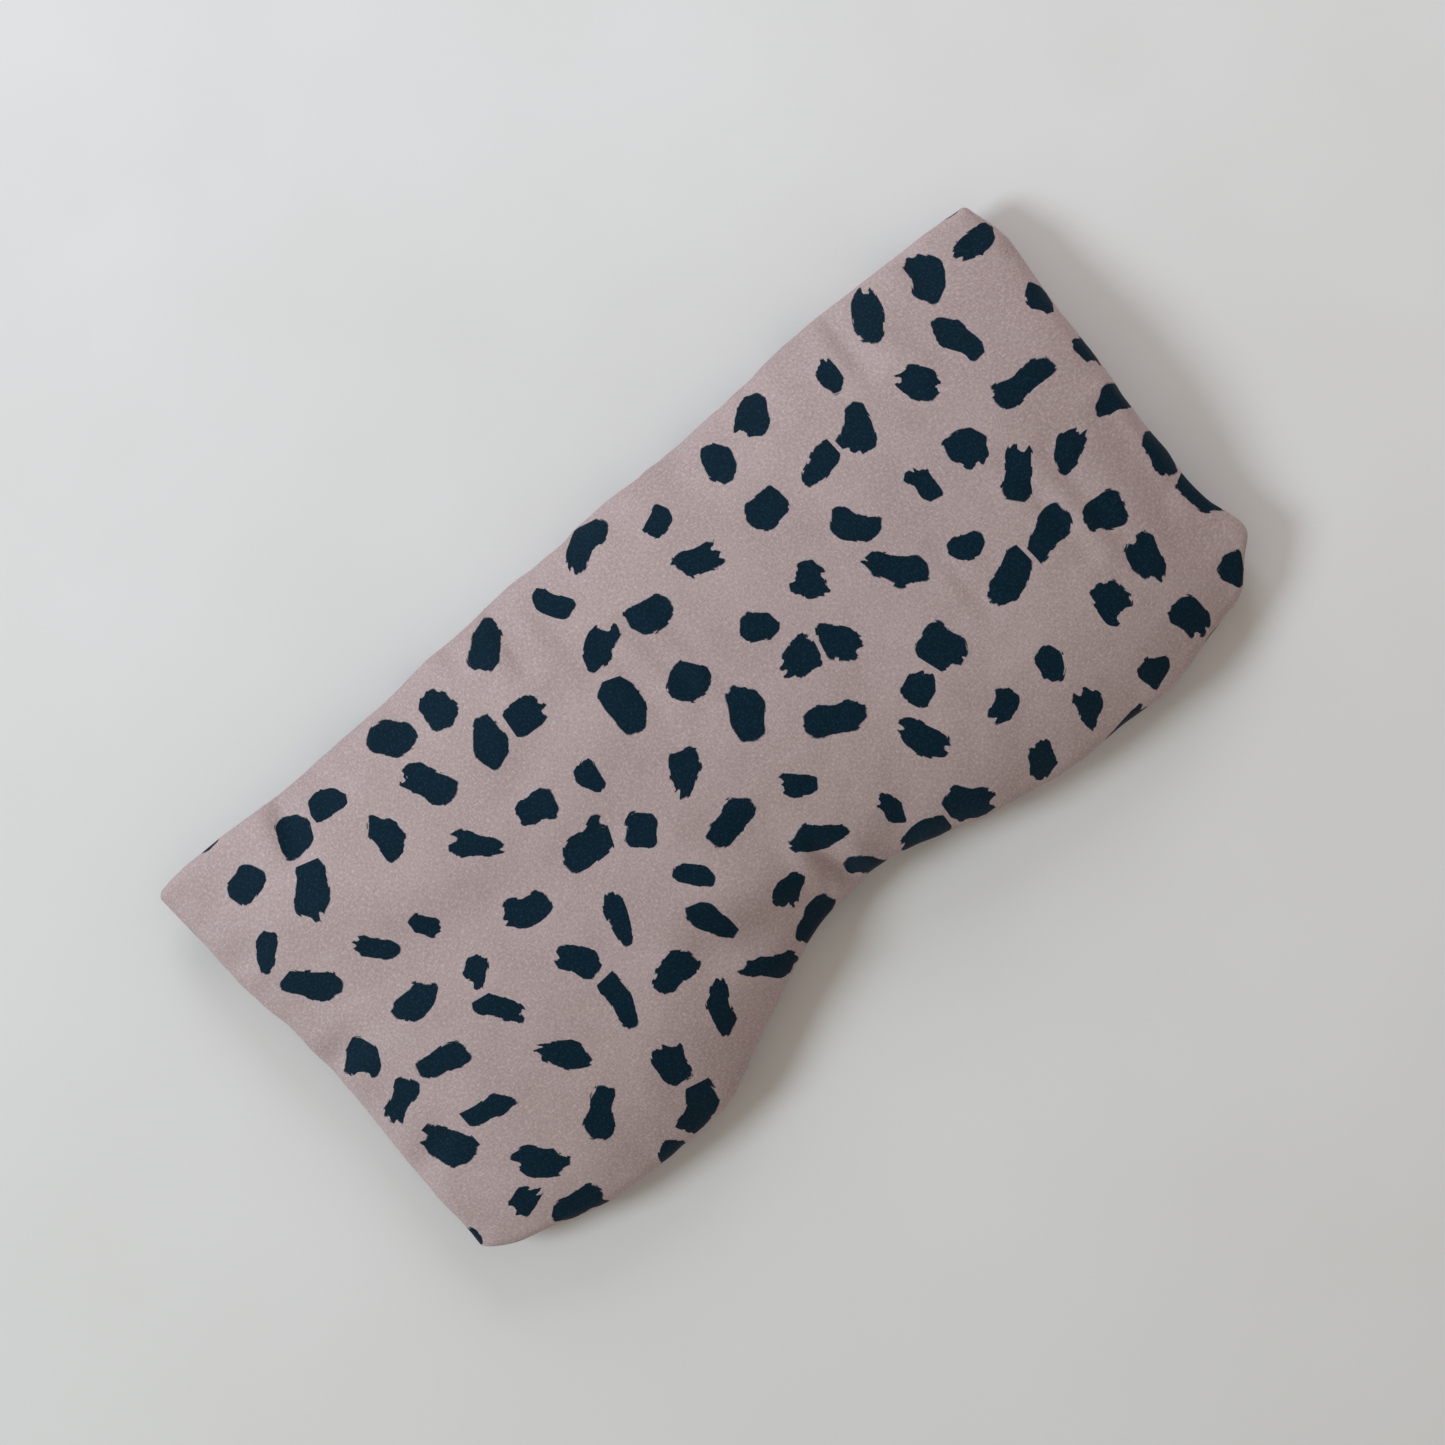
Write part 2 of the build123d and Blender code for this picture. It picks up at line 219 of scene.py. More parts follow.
def makePrintedCotton():
    look = printLook
    material, tree = startMaterial("printed_cotton_sateen")
    flat = addNode(tree, "ShaderNodeUVMap", uv_map="pattern")
    grid = {"Vector": flat, "Scale": 1 / look["pitch"], "Randomness": look["scatter"]}
    cells = addNode(tree, "ShaderNodeTexVoronoi", grid, voronoi_dimensions="2D").node.outputs
    border = addNode(tree, "ShaderNodeTexVoronoi", grid, "Distance", voronoi_dimensions="2D",
                     feature="DISTANCE_TO_EDGE")
    room = addNode(tree, "ShaderNodeTexVoronoi", grid, "Radius", voronoi_dimensions="2D",
                   feature="N_SPHERE_RADIUS")
    room = addNode(tree, "ShaderNodeMath", [room, look["pitch"]], operation="MULTIPLY")
    apart = look["gap"] / 2 / look["pitch"]
    inCell = addNode(tree, "ShaderNodeMapRange", [border, apart * (1 - look["gapEdge"]),
                                                  apart * (1 + look["gapEdge"])])
    dab = addNode(tree, "ShaderNodeGroup", {"Place": flat, "Centre": cells["Position"],
                                            "Random": cells["Color"], "Room": room}, node_tree=makeDabGroup())
    dabs = addNode(tree, "ShaderNodeMath", [dab, inCell], operation="MINIMUM")

    # the weave, with darker slubs and lighter flecks along warp and weft
    weave = makeWeave(tree, flat, look["threadPitch"])
    flecks = []
    for stretch in ((look["fleckStretch"], 1.0, 1.0), (1.0, look["fleckStretch"], 1.0)):
        drawn = addNode(tree, "ShaderNodeVectorMath", [flat, stretch], operation="MULTIPLY")
        fleck = addNode(tree, "ShaderNodeTexNoise", {"Vector": drawn, "Scale": look["fleckScale"],
                                                     "Detail": 1.0, "Roughness": 0.6}, noise_dimensions="2D")
        flecks.append(fleck)
    fleck = addNode(tree, "ShaderNodeMath", flecks, operation="MAXIMUM")
    slub = addNode(tree, "ShaderNodeMath", flecks, operation="MINIMUM")
    cloud = addNode(tree, "ShaderNodeTexNoise", {"Vector": flat, "Scale": look["cloudScale"], "Detail": 5.0,
                                                 "Roughness": 0.62})

    lightYarn = addNode(tree, "ShaderNodeMapRange", [fleck, *look["lightYarns"]])
    darkYarn = addNode(tree, "ShaderNodeMapRange", [slub, *look["darkYarns"]])
    cloud = addNode(tree, "ShaderNodeMapRange", [cloud, 0.3, 0.7])
    ground = addNode(tree, "ShaderNodeMix", {0: cloud, 6: linearColour(look["ground"]),
                                             7: linearColour(look["groundShade"])}, 2, data_type="RGBA")
    ground = addNode(tree, "ShaderNodeMix", {0: darkYarn, 6: ground, 7: linearColour(look["yarnDark"])}, 2,
                     data_type="RGBA")
    ground = addNode(tree, "ShaderNodeMix", {0: lightYarn, 6: ground, 7: linearColour(look["yarnLight"])}, 2,
                     data_type="RGBA")
    ink = addNode(tree, "ShaderNodeMix", {0: lightYarn, 6: linearColour(look["dab"]),
                                          7: linearColour(look["dabYarn"])}, 2, data_type="RGBA")
    colour = addNode(tree, "ShaderNodeMix", {0: dabs, 6: ground, 7: ink}, 2, data_type="RGBA")

    # the seeds press through the cloth a little, under the weave
    seeds = addNode(tree, "ShaderNodeTexVoronoi", {"Vector": flat, "Scale": 1 / look["seedPitch"]},
                    "Distance", voronoi_dimensions="2D", feature="SMOOTH_F1")
    pressed = addNode(tree, "ShaderNodeBump", {"Height": seeds, "Distance": look["seedDepth"],
                                               "Strength": 0.6}, invert=True)
    height = addNode(tree, "ShaderNodeMath", [weave, 0.5, fleck], operation="MULTIPLY_ADD")
    bump = addNode(tree, "ShaderNodeBump", {"Height": height, "Distance": look["threadDepth"],
                                            "Strength": 0.6, "Normal": pressed})
    shader = addNode(tree, "ShaderNodeBsdfPrincipled", {
        "Base Color": colour,
        "Roughness": addNode(tree, "ShaderNodeMapRange", [dabs, 0.0, 1.0, 0.80, 0.72]),
        "Specular IOR Level": 0.10,
        "Sheen Weight": 0.04,
        "Sheen Roughness": 0.45,
        "Sheen Tint": linearColour("#E4DAE6"),
        "Normal": bump,
    })
    addNode(tree, "ShaderNodeOutputMaterial", [shader])
    return material


printedCotton = makePrintedCotton()
print("Printed cotton ready")


# Calico: plain-woven unbleached cotton, cream with small brown seed flecks
calicoLook = {
    "colour": "#DFD3BC",
    "shade": "#CFC0A4",
    "fleck": "#8A6F4D",
    "fleckScale": 0.16 / mm,
    "threadPitch": 0.45 * mm,
    "threadDepth": 0.06 * mm,
}


def makeCalico():
    material, tree = startMaterial("unbleached_calico")
    flat = addNode(tree, "ShaderNodeUVMap", uv_map="pattern")
    weave = makeWeave(tree, flat, calicoLook["threadPitch"])
    uneven = addNode(tree, "ShaderNodeTexNoise", {"Vector": flat, "Scale": 0.9 / mm, "Detail": 3.0})
    speck = addNode(tree, "ShaderNodeTexVoronoi", {"Vector": flat, "Scale": calicoLook["fleckScale"]},
                    "Distance", voronoi_dimensions="2D")
    speck = addNode(tree, "ShaderNodeMapRange", [speck, 0.05, 0.03, 0.0, 0.8])
    # the cloth's own uneven tone, plus painted shade that darkens it where the weave dips between the threads
    mixed = addNode(tree, "ShaderNodeMath", [weave, 0.25, uneven], operation="MULTIPLY_ADD")
    mixed = addNode(tree, "ShaderNodeMapRange", [mixed, 0.2, 0.8])
    colour = addNode(tree, "ShaderNodeMix", {0: mixed, 6: linearColour(calicoLook["shade"]),
                                             7: linearColour(calicoLook["colour"])}, 2, data_type="RGBA")
    colour = addNode(tree, "ShaderNodeMix", {0: speck, 6: colour, 7: linearColour(calicoLook["fleck"])}, 2,
                     data_type="RGBA")
    bump = addNode(tree, "ShaderNodeBump", {"Height": weave, "Distance": calicoLook["threadDepth"],
                                            "Strength": 0.6})
    shader = addNode(tree, "ShaderNodeBsdfPrincipled", {
        "Base Color": colour, "Roughness": 0.88, "Specular IOR Level": 0.15, "Normal": bump,
    })
    addNode(tree, "ShaderNodeOutputMaterial", [shader])
    return material


# Spun polyester thread: two twisted plies, which show as fine slanting ridges with a soft gleam, and painted
# shade that darkens the grooves between the plies
def makeThread(name, hexCode, hexShade):
    material, tree = startMaterial(name)
    place = addNode(tree, "ShaderNodeTexCoord", out="Object")
    twist = addNode(tree, "ShaderNodeTexWave", {"Vector": place, "Scale": 1.4 / mm, "Distortion": 1.5,
                                                "Detail": 1.0}, "Fac", bands_direction="DIAGONAL")
    # painted shade: the colour follows the twist's ridges, darker where they dip
    colour = addNode(tree, "ShaderNodeMix", {0: twist, 6: linearColour(hexShade), 7: linearColour(hexCode)},
                     2, data_type="RGBA")
    bump = addNode(tree, "ShaderNodeBump", {"Height": twist, "Distance": 0.04 * mm, "Strength": 0.7})
    shader = addNode(tree, "ShaderNodeBsdfPrincipled", {
        "Base Color": colour, "Roughness": 0.55, "Specular IOR Level": 0.3, "Normal": bump,
    })
    addNode(tree, "ShaderNodeOutputMaterial", [shader])
    return material


# Flaxseed: smooth, glossy seeds, golden to reddish brown, each of its own tone
flaxLook = {"light": "#A8743F", "dark": "#5B3219", "seed": 2.4 * mm}


def makeFlax():
    material, tree = startMaterial("flaxseed")
    place = addNode(tree, "ShaderNodeTexCoord", out="Object")
    cells = addNode(tree, "ShaderNodeTexVoronoi", {"Vector": place, "Scale": 1 / flaxLook["seed"]}, "Color")
    tone = addNode(tree, "ShaderNodeSeparateXYZ", [cells], "X")
    colour = addNode(tree, "ShaderNodeMix", {0: tone, 6: linearColour(flaxLook["light"]),
                                             7: linearColour(flaxLook["dark"])}, 2, data_type="RGBA")
    grain = addNode(tree, "ShaderNodeTexNoise", {"Vector": place, "Scale": 4 / mm, "Detail": 2.0})
    bump = addNode(tree, "ShaderNodeBump", {"Height": grain, "Distance": 0.02 * mm, "Strength": 0.4})
    shader = addNode(tree, "ShaderNodeBsdfPrincipled", {
        "Base Color": colour, "Roughness": 0.32, "Specular IOR Level": 0.5, "Normal": bump,
    })
    addNode(tree, "ShaderNodeOutputMaterial", [shader])
    return material


calico = makeCalico()
pinkThread = makeThread("polyester_thread_pink", "#B9A0A2", "#8E7678")
creamThread = makeThread("polyester_thread_cream", "#E2D9C6", "#B9AD94")
flax = makeFlax()
print("Inner materials ready")


# a mesh's surface, ready for ray casts
def meshTree(mesh):
    return BVHTree.FromPolygons([vertex.co.copy() for vertex in mesh.vertices],
                                [list(face.vertices) for face in mesh.polygons])


# The pillow's outline is traced on the frame's own cover
tracing = {
    "heights": (0.2 * mm, 0.5 * mm, 0.8 * mm, 1.0 * mm),       # of the rays, above the seam
    "stations": (241, 121),      # rays along the pillow, and across it
    "leastDepth": 0.50,          # shares of the half size that a ray has to hit beyond
    "leastReach": 0.93,
    "rounds": 6,                 # how often a place is brought nearer to its share of the outline
}
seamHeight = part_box("cover_front")[0].z
coverTop, coverUnder = meshTree(nodes["cover_front"].data), meshTree(nodes["cover_back"].data)
coverLow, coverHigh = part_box("cover_back")
browY = coverHigh.y


# how far the rim reaches at each place, found with rays cast in at the pillow from outside
def traceRim(places, startAt, direction, axis, least):
    reach = []
    for place in places:
        starts = [startAt(place, seamHeight + height) for height in tracing["heights"]]
        hits = [coverTop.ray_cast(start, direction)[0] for start in starts]
        depths = [hit[axis] * direction[axis] for hit in hits if hit]
        found = [depth for depth in depths if depth < -least]
        reach.append(min(found) * direction[axis] if found else math.nan)
    reach = np.array(reach)
    good = ~np.isnan(reach)
    return np.interp(places, places[good], reach[good])


def traceEnd(side):
    return np.abs(traceRim(stationsY, lambda y, z: Vector((side, y, z)), Vector((-side, 0, 0)), 0,
                           tracing["leastReach"] * coverHigh.x))


stationsX = np.linspace(coverLow.x, coverHigh.x, tracing["stations"][0])
stationsY = np.linspace(coverLow.y, coverHigh.y, tracing["stations"][1])
lowerY = traceRim(stationsX, lambda x, z: Vector((x, -1, z)), Vector((0, 1, 0)), 1,
                  tracing["leastDepth"] * coverHigh.y)
endX = {side: traceEnd(side) for side in (-1, 1)}


# places in the pillow's outline: u is -1 to 1 along it, and v is 0 at the lower edge and 1 at the brow
def panelPoints(u, v, inset=0.0):
    x = u * coverHigh.x
    for _ in range(tracing["rounds"]):
        low = np.interp(x, stationsX, lowerY) + inset
        y = low + v * (browY - inset - low)
        reach = np.where(u > 0, np.interp(y, stationsY, endX[1]), np.interp(y, stationsY, endX[-1]))
        x = u * (reach - inset)
    return x, y


# The pillow's cover, in a sewn shape that sags and creases. The lists give places in mm
pillow = {
    "columns": 150,              # cells along the pillow
    "rows": 74,                  # cells across it
    "frames": 26,                # length of the cloth simulation
    "cloth": {                   # Blender's own names for its settings
        "quality": 6, "mass": 0.15, "tension_stiffness": 18, "compression_stiffness": 18, "shear_stiffness": 6,
        "bending_stiffness": 0.35, "air_damping": 3, "use_pressure": True, "uniform_pressure_force": 3.0,
    },
    "slack": 1.022,              # how much larger the cut cloth is than the filled outline
    "mostMove": 2.6 * mm,        # how far the simulation may carry a point
    "holdSpan": 8,               # rim vertices each way, over which the outline's shift is taken back
    "hold": 30 * mm,             # how far in from the rim the outline is held
    "weight": 0.70,              # how much of the rise the seeds' weight takes back, away from the rim
    "weightReach": 5 * mm,
    "seamPull": 0.6 * mm,        # depth of the seam's groove
    "cornerRounding": 1,         # how often the corners' outline is averaged
    "cornerReach": 2.5 * mm,
    "lumps": ((0.63 * mm, 21 * mm), (0.18 * mm, 7 * mm)),      # height and spacing of the seeds' lumps
    "puckers": {"front": 1.008 * mm, "back": 0.84 * mm, "spacing": 5.5 * mm, "reach": 5.0 * mm},
    "waver": ((0.70 * mm, 15 * mm), (0.30 * mm, 4 * mm)),      # how the seam strays from its line
    "waverReach": 6 * mm,
    "tuck": {                    # how the right end rolls under
        "at": 12 * mm, "reach": 27 * mm, "facing": 0.7,        # where: along the end, and how far it faces +X
        "seamIn": 1.6 * mm, "seamDown": 1.6 * mm, "seamReach": 5 * mm, "roll": 2.2 * mm, "rollReach": 15 * mm,
    },
    "nudges": [                  # where the outline leaves the frame's: place, push and reach
        ((110, 55), (-2.3, -0.2), 6), ((110, 43), (1.6, 0), 10), ((107, 28), (1.4, 0), 10),
        ((106, 9), (2.2, 0), 18), ((106, -14), (0.4, 0), 10), ((107, -33), (2.8, 0), 7),
        ((106.5, -42), (-3.0, 2.6), 5),
        ((-110, 55), (0.2, -0.5), 3), ((-107, 33), (-1.7, 0), 22), ((-106, 6), (0.6, 0), 18),
        ((-107, -22), (-1.4, 0), 24), ((-106, -46), (0.4, 1.0), 5),
        ((-95, 55), (0, 0.4), 12), ((-60, 55), (0, -0.7), 18), ((-36, 55), (0, 0.3), 12),
        ((0, 56), (0, 0.8), 30), ((66, 55), (0, 1.6), 24),
        ((75, -48), (0, -0.8), 10), ((28, -43), (0, -1.0), 10), ((16, -40), (0, -0.4), 7),
        ((-36, -49), (0, 0.9), 7), ((-49, -54), (0, -0.8), 6), ((-94, -50), (0, 0.6), 7),
    ],
    "lifts": [                   # place, rise and reach
        ((112, 12), 1.2, 28), ((34, -38), 1.0, 12), ((62, -41), 1.6, 13), ((88, -39), 1.2, 12),
        ((-36, -41), 0.6, 10), ((-62, -48), 1.2, 13), ((-88, -45), 1.0, 12),
    ],
    "ridge": 0.40,               # how high the cloth stands up beside a crease, as a share of its depth
    "ridgeAt": 2.2,              # how far beside it, and how wide, in half widths of the crease
    "ridgeWidth": 1.2,
    "creaseRun": (0.12, 0.92),   # the part of a half wave that a crease's rise follows along it
    "creases": [                 # in the front: start, end, rise (a fall below 0) and half width
        # gathered in at the brow
        ((-77, 57), (-82, 41), -1.9, 2.2), ((-64, 49), (-63, 40), 1.2, 6.0),
        ((-32, 57), (-32, 48), -1.0, 1.7), ((-20, 57), (-22, 40), -1.5, 1.9),
        ((-16.5, 48), (-16, 32), 0.6, 2.2), ((27, 57), (27, 47), -1.4, 4.0),
        ((71, 57), (69.5, 41), -1.5, 2.0), ((76, 44), (77, 27), 0.8, 3.2),
        ((-50, 56), (-47, 44), -0.7, 2.4), ((48, 57), (49, 46), -0.8, 2.2),
        ((92, 56), (90, 45), -0.8, 2.2), ((4, 57), (3, 48), -0.6, 2.0),
        # slack over the middle
        ((-7, 34), (-7, 12), -0.50, 1.8), ((0, 34), (1, 10), -0.45, 1.7), ((6, 31), (6, 9), -0.40, 1.7),
        ((-92, 15), (-42, 5), -0.9, 6.5), ((-40, 22), (-18, 30), -0.5, 5.0),
        # streaks towards the right end
        ((56, 5), (56, -13), -0.60, 1.6), ((78, 9), (79, -16), -0.60, 1.8),
        ((85, 5), (86, -24), -0.60, 1.7),
        ((91, 2), (92, -26), 0.50, 1.8), ((97, 4), (98, -20), -0.50, 1.9),
        # drawn in at the nose notch
        ((2, -41), (-1, -27), -2.4, 1.9), ((-2, -30), (-14, -10), -1.2, 4.5),
        ((-3, -37), (-30, -27), -2.0, 4.5), ((5, -38), (22, -29), -0.6, 3.4),
        # at the left end
        ((-108, 5), (-97, 5), -1.1, 2.6), ((-108, -24), (-97, -21), -1.0, 2.6),
        ((-108, 34), (-99, 32), -0.7, 2.4),
    ],
}


def bell(distance, reach):
    return np.exp(-(distance / reach) ** 2)


def nudgeOutline(flat):
    moved = flat.copy()
    for (px, py), push, reach in pillow["nudges"]:
        near = bell(np.linalg.norm(flat - np.array((px, py)) * mm, axis=1), reach * mm)
        moved += near[:, None] * np.array(push) * mm
    return moved


# about 0.02 mm apart, so that the rays at a place never all slip through between two faces
raySpread = ((0.011 * mm, 0.007 * mm), (-0.013 * mm, 0.009 * mm), (0.003 * mm, -0.017 * mm))
# the back panels are cut from the cloth this far from the front ones, in metres
backShift = (0.37, 0.21)


# the heights of a surface above and one below at a place
def heightsAt(above, below, x, y):
    high, low = [], []
    for sideways, onward in raySpread:
        place = Vector((x + sideways, y + onward, 0))
        high.append(above.ray_cast(place + Vector((0, 0, 1)), Vector((0, 0, -1)))[0])
        low.append(below.ray_cast(place - Vector((0, 0, 1)), Vector((0, 0, 1)))[0])
    high, low = [hit.z for hit in high if hit], [hit.z for hit in low if hit]
    return (max(high), min(low)) if high and low else (seamHeight, seamHeight)


# a closed bag of two panels that share their rim, under a surface above and over one below. A bag with
# a gap to them lies inside the finished cover, so it takes the cover's nudged outline.
# Its UV map is the flat cloth, in metres
def makePanels(name, columns, rows, above, below, inset=0.0, gap=0.0):
    u, v = np.meshgrid(np.linspace(-1, 1, columns + 1), np.linspace(0, 1, rows + 1), indexing="ij")
    x, y = panelPoints(u, v, inset)
    flat = np.stack([x.ravel(), y.ravel()], axis=1)
    placed = (nudgeOutline(flat) if gap else flat).reshape(*u.shape, 2)
    onRim = (np.abs(u) == 1) | (v == 0) | (v == 1)
    points, index = [], {}
    for panel in ("top", "under"):
        numbers = np.zeros(u.shape, int)
        for i, j in np.ndindex(u.shape):
            if panel == "under" and onRim[i, j]:
                numbers[i, j] = index["top"][i, j]
                continue
            px, py = placed[i, j]
            high, low = heightsAt(above, below, px, py)
            middle = (high + low) / 2
            if onRim[i, j]:
                height = middle if gap else seamHeight
            else:
                height = max(high - gap, middle) if panel == "top" else min(low + gap, middle)
            numbers[i, j] = len(points)
            points.append((px, py, height))
        index[panel] = numbers
    faces, corners = [], []
    for panel in ("top", "under"):
        for i, j in np.ndindex(columns, rows):
            loop = [(i, j), (i + 1, j), (i + 1, j + 1), (i, j + 1)]
            if panel == "under":
                loop.reverse()
            faces.append([index[panel][c] for c in loop])
            corners += [(panel, c) for c in loop]
    mesh = bpy.data.meshes.new(name)
    mesh.from_pydata(points, [], faces)
    shift = {"top": (0.0, 0.0), "under": backShift}
    values = [(x[c] + shift[panel][0], y[c] + shift[panel][1]) for panel, c in corners]
    mesh.uv_layers.new(name="pattern").data.foreach_set("uv", np.array(values).ravel())
    mesh.shade_smooth()
    return mesh, index, onRim


# the rim's vertices in order: lower edge, right end, brow, left end
def rimLoop(numbers):
    return [*numbers[:, 0], *numbers[-1, 1:], *numbers[-2::-1, -1], *numbers[0, -2:0:-1]]


# the rim's outward directions, and each vertex's distance along it
def rimFrame(points, loop):
    ring = points[loop][:, :2]
    ahead, behind = np.roll(ring, -1, axis=0), np.roll(ring, 1, axis=0)
    tangent = ahead - behind
    outward = np.stack([tangent[:, 1], -tangent[:, 0]], axis=1)
    outward /= np.linalg.norm(outward, axis=1, keepdims=True)
    along = np.concatenate([[0], np.cumsum(np.linalg.norm(ahead - ring, axis=1))])[:-1]
    return outward, along


def readPoints(mesh):
    points = np.empty(len(mesh.vertices) * 3)
    mesh.vertices.foreach_get("co", points)
    return points.reshape(-1, 3)


def writePoints(mesh, points):
    mesh.vertices.foreach_set("co", np.ascontiguousarray(points, dtype=float).ravel())
    mesh.update()


# the rim's vertex nearest to each point, and how far away it is
def nearestRim(flat, rim):
    tree = KDTree(len(rim))
    for number, place in enumerate(flat[rim]):
        tree.insert((*place, 0), number)
    tree.balance()
    found = [tree.find((*place, 0)) for place in flat]
    return np.array([hit[1] for hit in found]), np.array([hit[2] for hit in found])


# blows the cut cloth up a little, so that it puckers along its seam, and keeps it near its shape
def simulateCover(obj, start, rim):
    flat = start.copy()
    flat[:, :2] *= pillow["slack"]
    obj.shape_key_add(name="Basis")
    cut = obj.shape_key_add(name="cut")
    cut.data.foreach_set("co", flat.ravel())
    cloth = obj.modifiers.new("cloth", "CLOTH")
    settings = cloth.settings
    for name, value in pillow["cloth"].items():
        setattr(settings, name, value)
    settings.rest_shape_key = cut
    settings.effector_weights.gravity = 0
    cloth.collision_settings.use_collision = False
    cloth.point_cache.frame_start = 1
    cloth.point_cache.frame_end = pillow["frames"]
    scene = bpy.context.scene
    for step in range(1, pillow["frames"] + 1):
        scene.frame_set(step)
    points = readPoints(obj.evaluated_get(bpy.context.evaluated_depsgraph_get()).to_mesh())
    obj.modifiers.remove(cloth)
    obj.shape_key_clear()
    scene.frame_set(1)
    move = points - start
    # the outline keeps its small waves, but isn't drawn in as a whole
    nearest, away = nearestRim(start[:, :2], rim)
    span = pillow["holdSpan"]
    drawn = sum(np.roll(move[rim], shift, axis=0) for shift in range(-span, span + 1)) / (2 * span + 1)
    move -= drawn[nearest] * np.exp(-away / pillow["hold"])[:, None]
    move[:, 2] *= 1 - pillow["weight"] * (1 - np.exp(-away / pillow["weightReach"]))
    size = np.linalg.norm(move, axis=1, keepdims=True)
    limit = pillow["mostMove"]
    return start + move * limit * np.tanh(size / limit) / np.maximum(size, 1e-9)


# 1 along a segment, falling off towards its ends, with a low ridge of the other sign beside it
def creaseShape(points, start, end, halfWidth):
    start, end = np.array(start) * mm, np.array(end) * mm
    run = end - start
    share = np.clip(((points - start) @ run) / (run @ run), 0, 1)
    nearest = start + share[:, None] * run
    fade = np.sqrt(np.sin(np.pi * np.interp(share, (0, 1), pillow["creaseRun"])))
    away = np.linalg.norm(points - nearest, axis=1)
    halfWidth = halfWidth * mm
    beside = bell(away - pillow["ridgeAt"] * halfWidth, pillow["ridgeWidth"] * halfWidth)
    return (bell(away, halfWidth) - pillow["ridge"] * beside) * fade


# moves the settled cloth into the pillow's own outline, lifts, creases, puckers and lumps
def shapeCover(points, index, onRim):
    flat = points[:, :2].copy()
    top = np.zeros(len(points), bool)
    top[index["top"][~onRim]] = True
    rim = np.array(rimLoop(index["top"]))
    outward, along = rimFrame(points, rim)
    nearest, away = nearestRim(flat, rim)
    facing, travel = outward[nearest], along[nearest]

    points[:, :2] = nudgeOutline(flat)
    for start, end, rise, halfWidth in pillow["creases"]:
        points[:, 2] += np.where(top, creaseShape(flat, start, end, halfWidth) * rise * mm, 0)

    # lumps, puckers at the seam, and the seam's wavering. The back reads its noise elsewhere than the front
    puckers = pillow["puckers"]
    for number, place in enumerate(flat):
        front, rimAway = top[number], away[number]
        for height, spacing in pillow["lumps"]:
            depth = 3.0 if front else 9.0
            points[number, 2] += height * fractal.noise((place[0] / spacing, place[1] / spacing, depth))
        fold = fractal.noise((travel[number] / puckers["spacing"], 1.0 if front else 5.0,
                              rimAway / (4 * puckers["reach"])))
        fade = math.exp(-rimAway / puckers["reach"]) * (1 - math.exp(-rimAway / (0.2 * puckers["reach"])))
        points[number, 2] += (puckers["front"] if front else -puckers["back"]) * fold * fade
        for size, spacing in pillow["waver"]:
            stray = size * fractal.noise((travel[number] / spacing, 3.7, 2.0))
            points[number, :2] += facing[number] * stray * math.exp(-rimAway / pillow["waverReach"])

    # the right end rolls under, with its seam tucked in below the front
    tuck = pillow["tuck"]
    near = bell(flat[:, 1] - tuck["at"], tuck["reach"]) * (facing[:, 0] > tuck["facing"])
    close = np.clip(1 - away / tuck["seamReach"], 0, 1)
    points[:, 0] -= near * close * tuck["seamIn"]
    points[:, 2] -= near * close * tuck["seamDown"]
    swell = np.sin(np.pi * np.clip(away / tuck["rollReach"], 0, 1))
    points[:, 0] += np.where(top, near * swell * tuck["roll"], 0)

    for (px, py), rise, reach in pillow["lifts"]:
        far = np.linalg.norm(flat - np.array((px, py)) * mm, axis=1)
        points[:, 2] += rise * mm * bell(far, reach * mm)

    # the rim is drawn in between the panels, so that the seam lies in a groove, and its corners are rounded
    outward, _ = rimFrame(points, rim)
    points[rim, :2] -= outward * pillow["seamPull"]
    ring = points[rim, :2]
    corners = [rim.tolist().index(index["top"][i, j]) for i in (0, -1) for j in (0, -1)]
    far = np.min([np.linalg.norm(ring - ring[corner], axis=1) for corner in corners], axis=0)
    near = bell(far, pillow["cornerReach"])
    for _ in range(pillow["cornerRounding"]):
        ring += near[:, None] * ((np.roll(ring, 1, axis=0) + np.roll(ring, -1, axis=0)) / 2 - ring)
    points[rim, :2] = ring
    points[:, 2] = np.maximum(points[:, 2], 0)
    return points


# keeps the seam sharp when the mesh is smoothed
def creaseSeam(mesh, index, onRim):
    rim = np.zeros(len(mesh.vertices), bool)
    rim[index["top"][onRim]] = True
    crease = mesh.edge_creases_ensure()
    for edge in mesh.edges:
        a, b = edge.vertices
        crease.data[edge.index].value = 1.0 if rim[a] and rim[b] else 0.0


def finishPiece(piece, material, replaced):
    piece.data.materials.clear()
    piece.data.materials.append(material)
    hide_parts(*replaced)
    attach(piece, "root")


def makeCover():
    mesh, index, onRim = makePanels("pillowCover", pillow["columns"], pillow["rows"], coverTop, coverUnder)
    cover = linkedObject("pillowCover", mesh)
    points = readPoints(mesh)
    points = simulateCover(cover, points, np.array(rimLoop(index["top"])))
    points = shapeCover(points, index, onRim)
    writePoints(mesh, points)
    creaseSeam(mesh, index, onRim)
    smooth = cover.modifiers.new("smooth", "SUBSURF")
    smooth.levels = smooth.render_levels = 1
    finishPiece(cover, printedCotton, ["cover_front", "cover_back"])
    return mesh, points[rimLoop(index["top"])]


coverMesh, coverRim = makeCover()
print("Cover ready")


# The liner bag and the seeds in it, each a little smaller than what holds it
inner = {
    "linerCells": (96, 46),      # along the pillow and across it
    "linerInset": 3.2 * mm,      # from the cover's rim
    "linerGap": 1.1 * mm,        # to the cover above and below
    "seedCells": (80, 38),
    "seedInset": 5.0 * mm,       # from the cover's rim
    "seedGap": 1.2 * mm,         # to the liner
}


def makeInner(name, outer, cells, inset, gap, material, replaced):
    around = meshTree(outer)
    mesh, index, onRim = makePanels(name, *cells, around, around, inset, gap)
    piece = linkedObject(name, mesh)
    creaseSeam(mesh, index, onRim)
    finishPiece(piece, material, replaced)
    return mesh, readPoints(mesh)[rimLoop(index["top"])]


